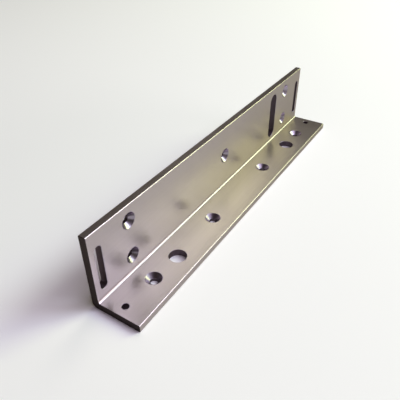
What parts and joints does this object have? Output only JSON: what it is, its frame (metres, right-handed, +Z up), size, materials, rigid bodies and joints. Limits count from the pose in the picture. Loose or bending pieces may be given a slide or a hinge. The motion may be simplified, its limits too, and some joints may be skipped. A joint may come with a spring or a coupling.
{
  "type": "magnetic lock bracket",
  "caption": "Angle bracket that carries a magnetic door lock: a length of extruded aluminium angle with countersunk screw holes, upright slots and cable holes.",
  "frame": {"origin": "on the underside, at the middle of the length and of the depth", "axes": "+X along the bar towards the end with the wide slot, +Y to the back of the tall leg, +Z up the tall leg"},
  "size_m": [0.25, 0.031, 0.048],
  "materials": {
    "anodised_aluminium": "satin anodised"
  },
  "bodies": {
    "root": {"bracket": "anodised_aluminium"}
  },
  "joints": []
}
